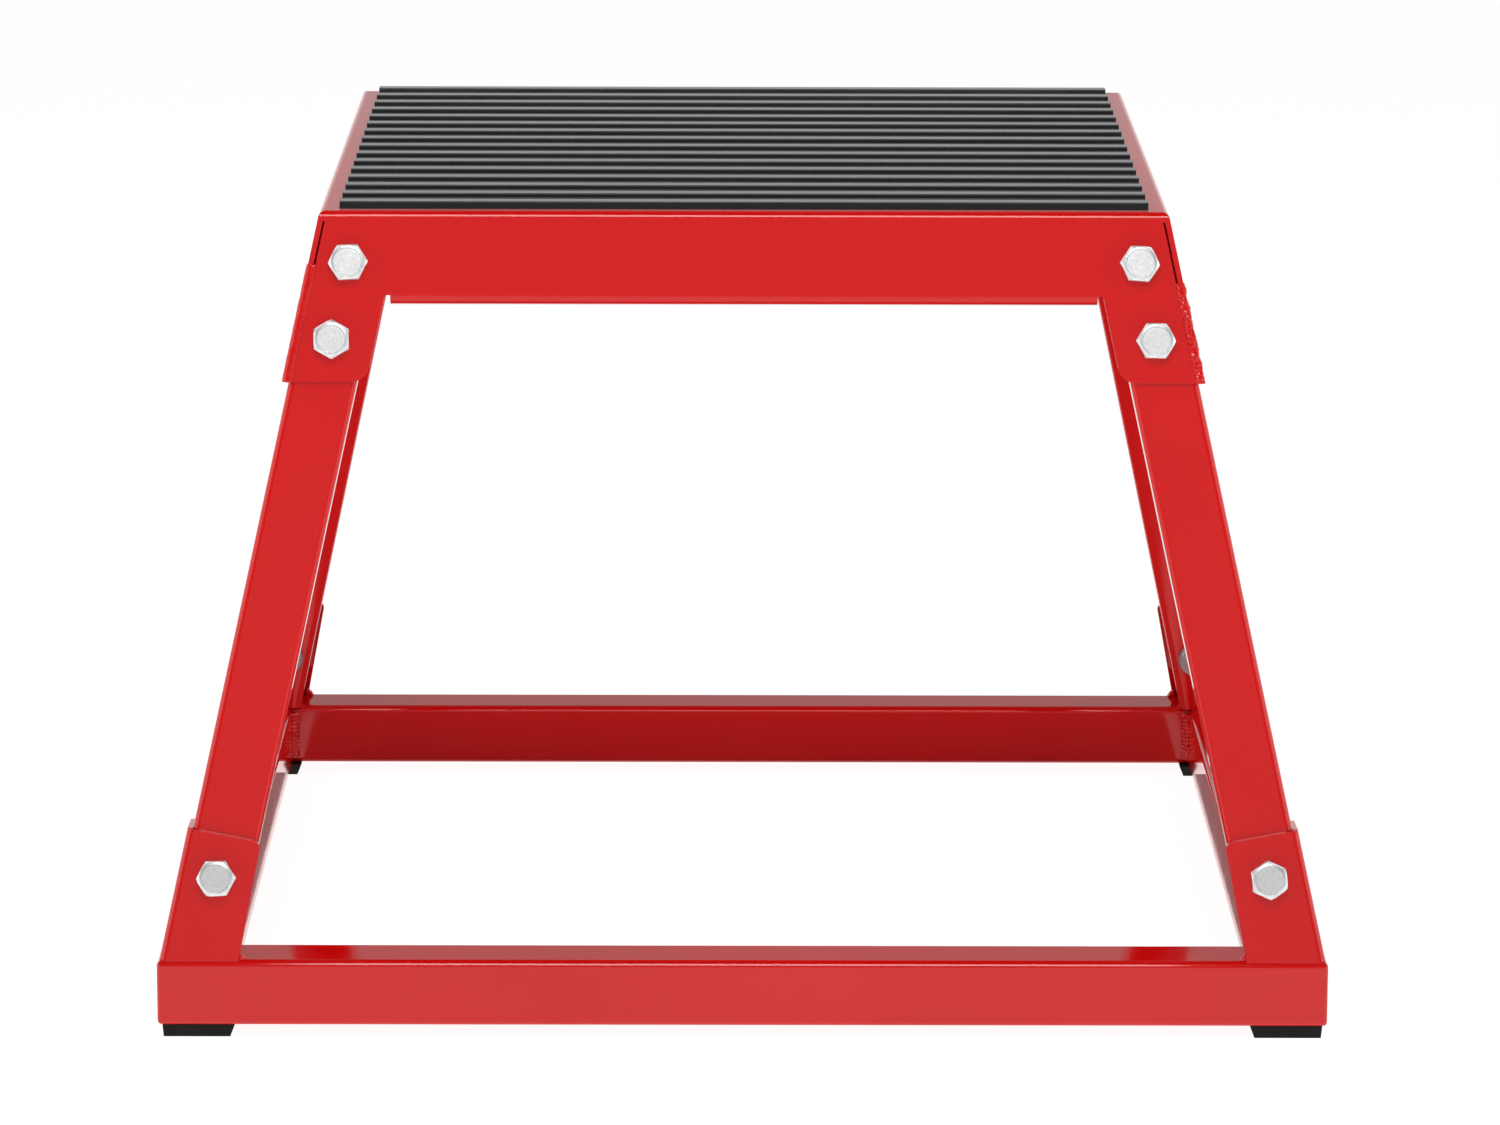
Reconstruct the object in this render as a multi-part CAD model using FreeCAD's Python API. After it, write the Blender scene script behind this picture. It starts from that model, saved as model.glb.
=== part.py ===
import FreeCAD, Part
import math
import os

from FreeCAD import Vector

# A small steel jump platform: a square base frame of welded tube on rubber feet, four
# square-tube legs that lean inward, and a folded sheet-steel pan with a ribbed rubber
# mat on top. Each leg is bolted to a welded bracket at its foot and to the pan at its
# head. The origin is on the floor under the platform's centre, with +Z up; the front
# faces -Y. Every corner is drawn once, in the +X +Y quarter, and mirrored to the other
# three. All sizes are in millimetres.

# Overall sizes
OVERALL_HEIGHT = 304.8      # floor to the top of the mat: 12 inches
BASE_WIDTH = 436.0          # outside of the square base frame
TOP_WIDTH = 316.0           # the pan, measured to its virtual sharp top edges
FOOT_HEIGHT = 4.7
MAT_THICKNESS = 2.8

# Square tube of the base frame and the legs
TUBE = 25.0
TUBE_WALL = 1.5
TUBE_RADIUS = 2.5           # outside corner of the tube
BASE_CORNER_RADIUS = 2.0    # upright edge of the base frame, ground smooth

# Sheet of the pan and the base brackets
SHEET = 2.0
BEND_RADIUS = 2.5           # outside of every fold
SKIN_INSET = 1.0            # the brackets stand this far inside the base frame's faces

# Top pan
FLANGE_DROP = 33.4          # pan top to the underside of the flange's return
LUG_DROP = 62.0             # pan top to the bottom of a corner lug
LUG_WIDTH = 31.0            # level width of a lug
LUG_RADIUS = 7.0
RELIEF = 2.0                # bend relief between a lug and the return
RETURN_DEPTH = 12.0
RETURN_RADIUS = 3.0         # outside of the return's fold
SEAM_GAP = 0.8              # open corner seam between two flanges
SEAM_START = 3.5            # the seam begins this far below the pan's top
SEAM_OPEN = {               # how far below the top the weld begins
    "front_left": 19.5,
    "front_right": 26.0,
    "rear_left": 23.0,
    "rear_right": 21.0,
}

# Base brackets
BRACKET_RISE = 47.9         # rail top to the bracket's top, at its fold
BRACKET_WIDTH_LOW = 29.6    # level width of a plate at the rail
BRACKET_WIDTH_HIGH = 27.4   # the same at the bracket's top
BRACKET_SLOPE_X = 0.18      # fall of the top edge along the front or rear plate
BRACKET_SLOPE_Y = 0.10      # fall of the top edge along the side plate
BRACKET_RADIUS = 3.0        # the plates' upper free corners
BRACKET_SINK = 1.0          # the plates reach this far down over the rail's edge

# Fasteners: M8, hexagon 13 mm across flats
BOLT_DIAMETER = 8.0
BOLT_LENGTH = 40.0
HOLE_DIAMETER = 8.6
HEX_FLATS = 13.0
HEAD_HEIGHT = 5.3
HEAD_FACE = 0.4             # round washer face under the hexagon
HEAD_FACE_DIAMETER = 11.8
HEAD_DISC_DIAMETER = 10.9   # flat middle of a bolt head, inside its chamfer
HEAD_CHAMFER_SLOPE = math.tan(math.radians(24.0))
HEAD_EDGE_RADIUS = 2.4      # a forged head's upright edges
NUT_HEIGHT = 6.5
NUT_DISC_DIAMETER = 12.3
NUT_CHAMFER_SLOPE = math.tan(math.radians(28.0))
NUT_EDGE_RADIUS = 0.5
WASHER_DIAMETER = 16.0
WASHER_BORE = 8.4
WASHER_THICKNESS = 1.6
LOCK_DIAMETER = 14.8
LOCK_BORE = 8.2
LOCK_THICKNESS = 2.0
LOCK_GAP = 1.2
THREAD_CHAMFER = 0.9
UPPER_BOLT_DROP = 18.6      # pan top to the upper bolt
LOWER_BOLT_DROP = 46.6      # pan top to the lower bolt
BASE_BOLT_RISE = 29.8       # rail top to the bolt of the base bracket
BOLT_TURN = {               # degrees that each hexagon happens to be turned
    "front_left": (3.0, 30.0, 2.0),
    "front_right": (4.0, 1.0, 24.0),
    "rear_left": (17.0, 8.0, 41.0),
    "rear_right": (26.0, 48.0, 12.0),
}

# Ribbed mat
MAT_LENGTH = 301.6          # along the ribs
MAT_DEPTH = 304.0           # across the ribs
MAT_WEB = 0.8
RIB_COUNT = 16
RIB_WIDTH = 7.6             # at the web
RIB_DRAFT = 0.5             # each flank leans in by this much
RIB_SHOULDER = 0.4
RIB_ROOT = 0.4

# Feet
FOOT_SIDE = 27.0
FOOT_INSET = 1.8            # from the rail's outer face
FOOT_TAPER_OUTER = 0.4
FOOT_TAPER_INNER = 1.8

# Weld beads
PAN_BEAD_PROUD = 0.3
PAN_BEAD_DEPTH = 2.4
PAN_BEAD_RADIUS = 1.8
FRAME_BEAD = 3.2
BRACKET_BEAD_REACH = 2.4
BRACKET_BEAD_RISE = 3.4
BRACKET_BEAD_LENGTH = 3.6

LEG_HEADROOM = 1.0          # gap between a leg's end and the pan's underside
OVERRUN = 1.0               # how far a cutting shape runs past what it cuts

# Worked out from the sizes above
RAIL_TOP = FOOT_HEIGHT + TUBE
PAN_TOP = OVERALL_HEIGHT - MAT_THICKNESS
PAN_UNDERSIDE = PAN_TOP - SHEET
LUG_BOTTOM = PAN_TOP - LUG_DROP
SKIN_BASE = BASE_WIDTH / 2 - SKIN_INSET
LEAN = (SKIN_BASE - TOP_WIDTH / 2) / (PAN_TOP - RAIL_TOP)
LEAN_ANGLE = math.atan(LEAN)
COS_LEAN = math.cos(LEAN_ANGLE)
SIN_LEAN = math.sin(LEAN_ANGLE)
BEND_START = PAN_TOP - FLANGE_DROP + RETURN_RADIUS * COS_LEAN

OUTWARD = Vector(0, COS_LEAN, SIN_LEAN)     # normal of the leaning +Y plane
UPSLOPE = Vector(0, -SIN_LEAN, COS_LEAN)    # straight up that plane
UP = Vector(0, 0, 1)
ORIGIN = Vector(0, 0, 0)

CORNERS = {
    "front_left": (-1, -1),
    "front_right": (1, -1),
    "rear_left": (-1, 1),
    "rear_right": (1, 1),
}
RAIL_TURNS = {"front_rail": 0, "right_rail": 90, "rear_rail": 180, "left_rail": 270}


def skin(z):
    """Distance from the centre to the leaning outer faces of pan and brackets, at height z."""
    return SKIN_BASE - LEAN * (z - RAIL_TOP)


def level(thickness):
    """Thickness of a leaning plate, measured level."""
    return thickness / COS_LEAN


def lean_run(rise):
    """The way a leg in the +X +Y quarter goes while it climbs by rise."""
    return Vector(-LEAN * rise, -LEAN * rise, rise)


def outline(points, radii):
    """Closed face through points, each corner rounded to its radius."""
    ends = []
    for number, corner in enumerate(points):
        back = (points[number - 1] - corner).normalize()
        ahead = (points[(number + 1) % len(points)] - corner).normalize()
        radius = radii[number]
        half = back.getAngle(ahead) / 2
        reach = radius / math.tan(half)
        inner = (back + ahead).normalize() * (radius / math.sin(half) - radius)
        ends.append((corner + back * reach, corner + inner, corner + ahead * reach))
    edges = []
    for number, (start, middle, end) in enumerate(ends):
        if radii[number]:
            edges.append(Part.Arc(start, middle, end).toShape())
        edges.append(Part.makeLine(end, ends[(number + 1) % len(ends)][0]))
    return Part.Face(Part.Wire(edges))


def level_rectangle(x0, x1, y0, y1, z, radius):
    """Level rectangle at height z, with rounded corners."""
    points = [Vector(x0, y0, z), Vector(x1, y0, z), Vector(x1, y1, z), Vector(x0, y1, z)]
    return outline(points, [radius] * 4)


def tapered_block(low, high, z_low, z_high):
    """Flat-sided block between two level rectangles, each given as (from, to) along X and Y."""
    rings = []
    for (start, end), z in ((low, z_low), (high, z_high)):
        rings.append([Vector(start, start, z), Vector(end, start, z),
                      Vector(end, end, z), Vector(start, end, z)])
    bottom, top = rings
    loops = [bottom[::-1], top]
    for number in range(4):
        after = (number + 1) % 4
        loops.append([bottom[number], bottom[after], top[after], top[number]])
    faces = [Part.Face(Part.makePolygon(loop + loop[:1])) for loop in loops]
    return Part.Solid(Part.makeShell(faces))


def to_corner(shape, corner):
    """The +X +Y quarter's shape, mirrored to the named corner."""
    sign_x, sign_y = CORNERS[corner]
    if sign_x < 0:
        shape = shape.mirror(ORIGIN, Vector(1, 0, 0))
    if sign_y < 0:
        shape = shape.mirror(ORIGIN, Vector(0, 1, 0))
    return shape


# ---- Base frame ----

def rail():
    """Front rail: square tube along X, mitred at both ends, its outer corners rounded."""
    half = BASE_WIDTH / 2
    span = Vector(BASE_WIDTH, 0, 0)

    def bar(inset, radius):
        y0 = inset - half
        y1 = TUBE - inset - half
        z0 = FOOT_HEIGHT + inset
        z1 = RAIL_TOP - inset
        points = [Vector(-half, y0, z0), Vector(-half, y1, z0),
                  Vector(-half, y1, z1), Vector(-half, y0, z1)]
        return outline(points, [radius] * 4).extrude(span)

    tube = bar(0, TUBE_RADIUS).cut(bar(TUBE_WALL, TUBE_RADIUS - TUBE_WALL))
    mitre = outline([Vector(-half, -half, 0), Vector(half, -half, 0), ORIGIN], [0] * 3)
    square = level_rectangle(-half, half, -half, half, 0, BASE_CORNER_RADIUS)
    return tube.common(mitre.extrude(UP * RAIL_TOP)).common(square.extrude(UP * RAIL_TOP))


def frame_weld():
    """Bead that fills the upright inner corner between two rails."""
    edge = BASE_WIDTH / 2 - TUBE
    z0 = FOOT_HEIGHT + TUBE_RADIUS
    height = TUBE - 2 * TUBE_RADIUS
    points = [Vector(edge, edge, z0), Vector(edge - FRAME_BEAD, edge, z0),
              Vector(edge, edge - FRAME_BEAD, z0)]
    return outline(points, [0] * 3).extrude(UP * height)


def foot():
    """Rubber pad under a corner of the base frame, tapered towards the floor."""
    outer = BASE_WIDTH / 2 - FOOT_INSET
    inner = outer - FOOT_SIDE
    low = (inner + FOOT_TAPER_INNER, outer - FOOT_TAPER_OUTER)
    return tapered_block(low, (inner, outer), 0, FOOT_HEIGHT)


# ---- Legs ----

def leg():
    """Square tube that leans inward both ways, its faces lying against pan and bracket."""
    rise = PAN_UNDERSIDE - LEG_HEADROOM - RAIL_TOP
    outer = skin(RAIL_TOP) - level(SHEET)

    def bar(inset, radius):
        x0 = outer - level(TUBE - inset)
        x1 = outer - level(inset)
        return level_rectangle(x0, x1, x0, x1, RAIL_TOP, radius).extrude(lean_run(rise))

    return bar(0, TUBE_RADIUS).cut(bar(TUBE_WALL, TUBE_RADIUS - TUBE_WALL))


def leg_middle(z):
    """Distance of a leg's centre line from the platform's middle planes, at height z."""
    return skin(z) - level(SHEET + TUBE / 2)


# ---- Fasteners ----

BOLT_HEIGHTS = (PAN_TOP - UPPER_BOLT_DROP, PAN_TOP - LOWER_BOLT_DROP, RAIL_TOP + BASE_BOLT_RISE)


def on_axis(shape, z, turn=0.0):
    """A shape drawn along +Z, moved to the bolt axis that pierces the +Y skin at height z."""
    tilt = FreeCAD.Rotation(UP, OUTWARD)
    spin = FreeCAD.Rotation(UP, turn)
    placed = shape.copy()
    placed.Placement = FreeCAD.Placement(Vector(leg_middle(z), skin(z), z), tilt * spin)
    return placed


def disc(diameter, low, high):
    """Round bar along Z between two heights."""
    return Part.makeCylinder(diameter / 2, high - low, Vector(0, 0, low))


def hexagon(low, high, edge_radius):
    """Hexagonal bar along Z, its six upright edges rounded."""
    corner = HEX_FLATS / 2 / math.cos(math.pi / 6)
    points = []
    for number in range(6):
        angle = number * math.pi / 3
        points.append(Vector(corner * math.cos(angle), corner * math.sin(angle), low))
    return outline(points, [edge_radius] * 6).extrude(UP * (high - low))


def chamfered(bar, high, disc_diameter, slope):
    """The bar with a turned chamfer round its top, outside a flat disc."""
    height = (HEX_FLATS - disc_diameter / 2) * slope
    start = high - height
    cap = Part.makeCone(HEX_FLATS, disc_diameter / 2, height, Vector(0, 0, start))
    return bar.common(disc(2 * HEX_FLATS, start - HEX_FLATS, start).fuse(cap))


def bolt():
    """Hexagon-head bolt, its head's underside at zero and its shank along -Z."""
    head = hexagon(HEAD_FACE, HEAD_HEIGHT, HEAD_EDGE_RADIUS)
    head = chamfered(head, HEAD_HEIGHT, HEAD_DISC_DIAMETER, HEAD_CHAMFER_SLOPE)
    face = disc(HEAD_FACE_DIAMETER, 0, HEAD_FACE)
    shank = disc(BOLT_DIAMETER, THREAD_CHAMFER - BOLT_LENGTH, 0)
    radius = BOLT_DIAMETER / 2
    tip = Part.makeCone(radius - THREAD_CHAMFER, radius, THREAD_CHAMFER, Vector(0, 0, -BOLT_LENGTH))
    return head.fuse([face, shank, tip]).removeSplitter()


WASHER_LOW = -(SHEET + TUBE + WASHER_THICKNESS)
LOCK_LOW = WASHER_LOW - LOCK_THICKNESS
NUT_LOW = LOCK_LOW - NUT_HEIGHT


def washer():
    """Flat washer against the leg's inner face."""
    high = WASHER_LOW + WASHER_THICKNESS
    return disc(WASHER_DIAMETER, WASHER_LOW, high).cut(disc(WASHER_BORE, WASHER_LOW, high))


def lock_washer():
    """Split spring washer between the flat washer and the nut."""
    ring = disc(LOCK_DIAMETER, LOCK_LOW, WASHER_LOW).cut(disc(LOCK_BORE, LOCK_LOW, WASHER_LOW))
    slot = Part.makeBox(LOCK_DIAMETER, LOCK_GAP, LOCK_THICKNESS, Vector(0, -LOCK_GAP / 2, LOCK_LOW))
    return ring.cut(slot)


def nut():
    """Hexagon nut on the bolt's end."""
    half = NUT_HEIGHT / 2
    bar = hexagon(-half, half, NUT_EDGE_RADIUS)
    for _ in range(2):
        bar = chamfered(bar, half, NUT_DISC_DIAMETER, NUT_CHAMFER_SLOPE)
        bar = bar.mirror(ORIGIN, UP)
    bar = bar.cut(disc(BOLT_DIAMETER, -half, half))
    bar.translate(UP * (LOCK_LOW - half))
    return bar


def bolt_holes():
    """The three bolt holes of one corner, as solid pins to cut with."""
    pin = disc(HOLE_DIAMETER, -(SHEET + TUBE + OVERRUN), OVERRUN)
    return [on_axis(pin, z) for z in BOLT_HEIGHTS]


def fasteners(shape, corner):
    """Three like fasteners of one corner, each turned its own way."""
    turned = []
    for z, turn in zip(BOLT_HEIGHTS, BOLT_TURN[corner]):
        turned.append(on_axis(shape, z, turn))
    return Part.makeCompound(turned)


# ---- Base brackets ----

def bracket(rails):
    """Folded angle that stands on a corner of the base frame and takes the leg's foot."""
    low = RAIL_TOP - BRACKET_SINK
    rise = BRACKET_RISE + BRACKET_SINK
    outer = skin(low)
    inner = outer - level(SHEET)
    start = outer - BRACKET_WIDTH_LOW
    points = [Vector(outer, start, low), Vector(outer, outer, low), Vector(start, outer, low),
              Vector(start, inner, low), Vector(inner, inner, low), Vector(inner, start, low)]
    angle = outline(points, [0, BEND_RADIUS, 0, 0, BEND_RADIUS - SHEET, 0])
    body = angle.extrude(lean_run(rise))
    body = body.cut(bracket_trim(False)).cut(bracket_trim(True))
    return body.cut(rails)


def bracket_trim(side_plate):
    """What is cut away past the free edge and above the sloping top of one plate."""
    top = RAIL_TOP + BRACKET_RISE
    fold = skin(top)
    slope = BRACKET_SLOPE_Y if side_plate else BRACKET_SLOPE_X
    low = RAIL_TOP - BRACKET_SINK
    edge_low = skin(low) - BRACKET_WIDTH_LOW
    edge_high = fold - BRACKET_WIDTH_HIGH
    corner_high = top - slope * BRACKET_WIDTH_HIGH
    far = edge_high - TUBE
    roof = top + TUBE
    points = [(edge_low, low - OVERRUN), (edge_low, low), (edge_high, corner_high),
              (fold + OVERRUN, top + slope * OVERRUN), (fold + OVERRUN, roof), (far, roof),
              (far, low - OVERRUN)]
    radii = [0, 0, BRACKET_RADIUS, 0, 0, 0, 0]
    if side_plate:
        near = fold - level(TUBE / 2)
        face = outline([Vector(near, y, z) for y, z in points], radii)
        return face.extrude(Vector(TUBE, 0, 0)).cut(front_plate_zone())
    near = fold - level(SHEET) - BRACKET_SINK
    face = outline([Vector(x, near, z) for x, z in points], radii)
    return face.extrude(Vector(0, TUBE, 0))


def front_plate_zone():
    """The space of the plate that lies in the +Y skin, so that the side's cut spares it."""
    low = RAIL_TOP - 2 * BRACKET_SINK
    inner = skin(low) - level(SHEET)
    rise = BRACKET_RISE + TUBE
    face = level_rectangle(inner - TUBE - SHEET, inner + TUBE, inner, inner + TUBE, low, 0)
    return face.extrude(lean_run(rise))


def bracket_weld(bracket_body, rails):
    """Two short beads that tie the bracket's free edges to the rails."""
    edge = skin(RAIL_TOP) - BRACKET_WIDTH_LOW
    outer = skin(RAIL_TOP)
    beads = []
    for along_x in (True, False):
        points = [(edge + OVERRUN, RAIL_TOP - OVERRUN), (edge + OVERRUN, RAIL_TOP + BRACKET_BEAD_RISE),
                  (edge, RAIL_TOP + BRACKET_BEAD_RISE), (edge - BRACKET_BEAD_REACH, RAIL_TOP),
                  (edge - BRACKET_BEAD_REACH, RAIL_TOP - OVERRUN)]
        across = outer - BRACKET_BEAD_LENGTH
        if along_x:
            face = outline([Vector(p, across, z) for p, z in points], [0] * 5)
            bead = face.extrude(Vector(0, BRACKET_BEAD_LENGTH - OVERRUN, 0))
        else:
            face = outline([Vector(across, p, z) for p, z in points], [0] * 5)
            bead = face.extrude(Vector(BRACKET_BEAD_LENGTH - OVERRUN, 0, 0))
        beads.append(bead.cut(bracket_body).cut(rails))
    return beads


# ---- Top pan ----

def pyramid(inset, radius):
    """Truncated pyramid inside the pan's skin, its top edges rounded."""
    top = PAN_TOP - inset
    wide = skin(LUG_BOTTOM) - level(inset)
    narrow = skin(top) - level(inset)
    block = tapered_block((-wide, wide), (-narrow, narrow), LUG_BOTTOM, top)
    top_edges = [e for e in block.Edges if all(abs(v.Z - top) < 0.01 for v in e.Vertexes)]
    return block.makeFillet(radius, top_edges)


def flange_window():
    """The opening between two lugs and under a return, cut from front to rear."""
    foot_x = skin(LUG_BOTTOM) - LUG_WIDTH
    head_x = skin(BEND_START) - LUG_WIDTH
    below = LUG_BOTTOM - OVERRUN
    beside = foot_x + LUG_WIDTH / 2
    half = [(beside, below), (beside, LUG_BOTTOM), (foot_x, LUG_BOTTOM), (head_x, BEND_START)]
    half_radii = [0, 0, LUG_RADIUS, RELIEF / 2]
    outer = skin(LUG_BOTTOM) + OVERRUN
    points = [Vector(x, -outer, z) for x, z in half]
    points += [Vector(-x, -outer, z) for x, z in reversed(half)]
    face = outline(points, half_radii + half_radii[::-1])
    return face.extrude(Vector(0, 2 * outer, 0))


def flange_return():
    """Inward return along the lower edge of the +Y flange, with its rounded fold."""
    base = Vector(0, skin(BEND_START), BEND_START)
    half = skin(BEND_START) - LUG_WIDTH - RELIEF
    section = [(0, RETURN_RADIUS), (0, -RETURN_RADIUS), (RETURN_DEPTH, -RETURN_RADIUS),
               (RETURN_DEPTH, SHEET - RETURN_RADIUS), (SHEET, SHEET - RETURN_RADIUS),
               (SHEET, RETURN_RADIUS)]
    radii = [0, RETURN_RADIUS, 0, 0, RETURN_RADIUS - SHEET, 0]
    points = [base - OUTWARD * inward + UPSLOPE * up for inward, up in section]
    face = outline(points, radii)
    face.translate(Vector(-half, 0, 0))
    return face.extrude(Vector(2 * half, 0, 0))


def seam(start_drop):
    """Gap between the +Y flange's end and the +X flange, from start_drop below the top."""
    z_high = PAN_TOP - start_drop
    z_low = LUG_BOTTOM - OVERRUN
    high = skin(z_high) - level(SHEET)
    low = skin(z_low) - level(SHEET)
    y = high - OVERRUN
    points = [Vector(low - SEAM_GAP, y, z_low), Vector(low, y, z_low), Vector(high, y, z_high),
              Vector(high - SEAM_GAP, y, z_high)]
    return outline(points, [0] * 4).extrude(Vector(0, TUBE, 0))


def pan_weld(corner):
    """Bead that closes the lower part of a corner seam and rounds the corner off."""
    rise = LUG_DROP - SEAM_OPEN[corner]
    outer = skin(LUG_BOTTOM) + PAN_BEAD_PROUD
    x0 = skin(LUG_BOTTOM) - level(SHEET) - SEAM_GAP
    y0 = skin(LUG_BOTTOM) - PAN_BEAD_DEPTH
    points = [Vector(x0, y0, LUG_BOTTOM), Vector(outer, y0, LUG_BOTTOM),
              Vector(outer, outer, LUG_BOTTOM), Vector(x0, outer, LUG_BOTTOM)]
    section = outline(points, [0, PAN_BEAD_PROUD / 2, PAN_BEAD_RADIUS, PAN_BEAD_PROUD / 2])
    return section.extrude(lean_run(rise))


def top_pan(pan_welds, holes):
    """One folded sheet: a flat top, four leaning flanges with returns, and eight lugs."""
    pan = pyramid(0, BEND_RADIUS).cut(pyramid(SHEET, BEND_RADIUS - SHEET))
    window = flange_window()
    side_window = window.copy()
    side_window.rotate(ORIGIN, UP, 90)
    pan = pan.cut([window, side_window])
    returns = []
    for turn in (0, 90, 180, 270):
        piece = flange_return()
        piece.rotate(ORIGIN, UP, turn)
        returns.append(piece)
    pan = pan.fuse(returns)
    slits = [to_corner(seam(SEAM_START), corner) for corner in CORNERS]
    return pan.cut(slits + pan_welds + holes).removeSplitter()


# ---- Ribbed mat ----

def top_mat():
    """Rubber mat: a thin web with straight ribs that run along X."""
    half = MAT_DEPTH / 2
    pitch = (MAT_DEPTH - RIB_WIDTH) / (RIB_COUNT - 1)
    web = PAN_TOP + MAT_WEB
    crown = PAN_TOP + MAT_THICKNESS
    profile = [(-half, PAN_TOP, 0)]
    for number in range(RIB_COUNT):
        start = number * pitch - half
        end = start + RIB_WIDTH
        if number:
            profile.append((start, web, RIB_ROOT))
        profile.append((start + RIB_DRAFT, crown, RIB_SHOULDER))
        profile.append((end - RIB_DRAFT, crown, RIB_SHOULDER))
        if number < RIB_COUNT - 1:
            profile.append((end, web, RIB_ROOT))
    profile.append((half, PAN_TOP, 0))
    points = [Vector(-MAT_LENGTH / 2, y, z) for y, z, radius in profile]
    section = outline(points, [radius for y, z, radius in profile])
    return section.extrude(Vector(MAT_LENGTH, 0, 0))


# ---- The whole platform ----

def build():
    """Every node of the platform, by name."""
    nodes = {}
    for name, turn in RAIL_TURNS.items():
        piece = rail()
        piece.rotate(ORIGIN, UP, turn)
        nodes[name] = piece
    rails = list(nodes.values())

    pins = bolt_holes()
    leg_body = leg().cut(pins)
    bracket_body = bracket(rails).cut(pins)
    bracket_beads = bracket_weld(bracket_body, rails)
    pan_welds = []
    pan_pins = []
    for corner in CORNERS:
        pan_welds.append(to_corner(pan_weld(corner), corner))
        pan_pins += [to_corner(pin, corner) for pin in pins[:2]]
        nodes["foot_" + corner] = to_corner(foot(), corner)
        nodes["frame_weld_" + corner] = to_corner(frame_weld(), corner)
        nodes["leg_" + corner] = to_corner(leg_body, corner)
        nodes["bracket_" + corner] = to_corner(bracket_body, corner)
        nodes["bracket_weld_" + corner] = to_corner(Part.makeCompound(bracket_beads), corner)
        nodes["pan_weld_" + corner] = pan_welds[-1]
        nodes["bolts_" + corner] = to_corner(fasteners(bolt(), corner), corner)
        nodes["nuts_" + corner] = to_corner(fasteners(nut(), corner), corner)
        nodes["washers_" + corner] = to_corner(fasteners(washer(), corner), corner)
        nodes["lock_washers_" + corner] = to_corner(fasteners(lock_washer(), corner), corner)
    nodes["top_pan"] = top_pan(pan_welds, pan_pins)
    nodes["top_mat"] = top_mat()
    return nodes


os.makedirs("parts", exist_ok=True)
for node, shape in build().items():
    shape.exportStep("parts/" + node + ".step")
    print(node, len(shape.Solids), shape.isValid(), round(shape.Volume / 1000, 2), "cm3")
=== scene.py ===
"""Looks for the plyometric jump platform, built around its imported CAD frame, in metres."""

import cmath
import math

import bmesh
import bpy
from mathutils import Matrix, Vector, noise


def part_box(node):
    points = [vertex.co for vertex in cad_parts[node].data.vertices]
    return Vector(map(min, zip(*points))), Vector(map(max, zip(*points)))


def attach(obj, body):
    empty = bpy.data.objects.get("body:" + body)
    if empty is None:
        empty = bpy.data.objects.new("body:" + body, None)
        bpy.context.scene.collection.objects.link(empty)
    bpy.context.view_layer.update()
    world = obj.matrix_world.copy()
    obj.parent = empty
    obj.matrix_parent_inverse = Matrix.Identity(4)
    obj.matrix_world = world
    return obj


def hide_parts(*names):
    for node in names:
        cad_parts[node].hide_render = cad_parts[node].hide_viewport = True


MM = 0.001
MERGE_DISTANCE = 1e-6

# Camera: the photograph's own viewpoint and field of view, with angles in radians
CAMERA_PLACE = (-0.0070, -2.6696, 0.7077)
CAMERA_PITCH = -0.2114
CAMERA_YAW = 0.0038
CAMERA_ROLL = 0.0027
CAMERA_LENS = 163.92
SENSOR_WIDTH = 36.0
CLIP_END = 50.0

# The corners of the frame, the bolts of each from the top down, and the pieces' names
CORNERS = ("front_left", "front_right", "rear_left", "rear_right")
BOLT_PLACES = ("upper", "lower", "base")
PIECE_NAMES = {"nuts": "nut", "washers": "washer", "lock_washers": "lock_washer"}

# Fasteners, in millimetres: M8, hexagon 13 mm across flats
HEX_FLATS = 13.0
HEX_CORNER_SHARE = 1.04           # of the inner radius: what lies beyond it is a corner
HALF_SIDE = math.pi / 6.0         # half the angle of one side of a hexagon
SIDE = math.pi / 3.0
SPUN_STEPS = 96
HEAD_HEIGHT = 5.3
HEAD_EDGE_RADIUS = 3.2
HEAD_DISC_RADIUS = 5.1
HEAD_DISC_DROP = 0.10             # the disc lies this far below the top of the rim
HEAD_DISC_RADII = (1.2, 2.6, 4.0)
HEAD_GROOVE_RADIUS = 5.32
HEAD_GROOVE_DEPTH = 0.34
HEAD_RIM_START = 0.16             # the rim begins this far outside the groove
HEAD_RIM_DROP = 0.02
HEAD_RIM_SLOPE = 0.445
HEAD_RIM_POWER = 1.5
HEAD_RIM_SHARES = (0.0, 0.15, 0.35, 0.55, 0.75, 0.92)
WASHER_FACE_HEIGHT = 0.4
WASHER_FACE_RADIUS = 5.9
BOLT_RADIUS = 3.98
THREAD_PITCH = 1.25
THREAD_DEPTH = 0.68
THREAD_LENGTH = 15.0
THREAD_ROWS = 8.0                 # rings of points in one turn of the thread
THREAD_ROOT = 1.15                # what is over 1 makes the root flat
THREAD_FLANK = 1.3
TIP_DEPTH = 0.95
TIP_SLOPE = 1.05
NUT_EDGE_RADIUS = 0.5
NUT_DISC_RADIUS = 6.15
NUT_SLOPE = 0.53
NUT_BORE_DEPTH = 0.7
NUT_BORE_CHAMFER = 0.62
WASHER_BORE = 4.2                 # the washers' bores and rims are radii
WASHER_RADIUS = 8.0
LOCK_BORE = 4.1
LOCK_RADIUS = 7.4
LOCK_GAP = 1.2
LOCK_SOFT = 0.16
LOCK_STEPS = 80
LOCK_TURN = 1.3                   # in radians: no two splits of a corner face one way

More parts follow.
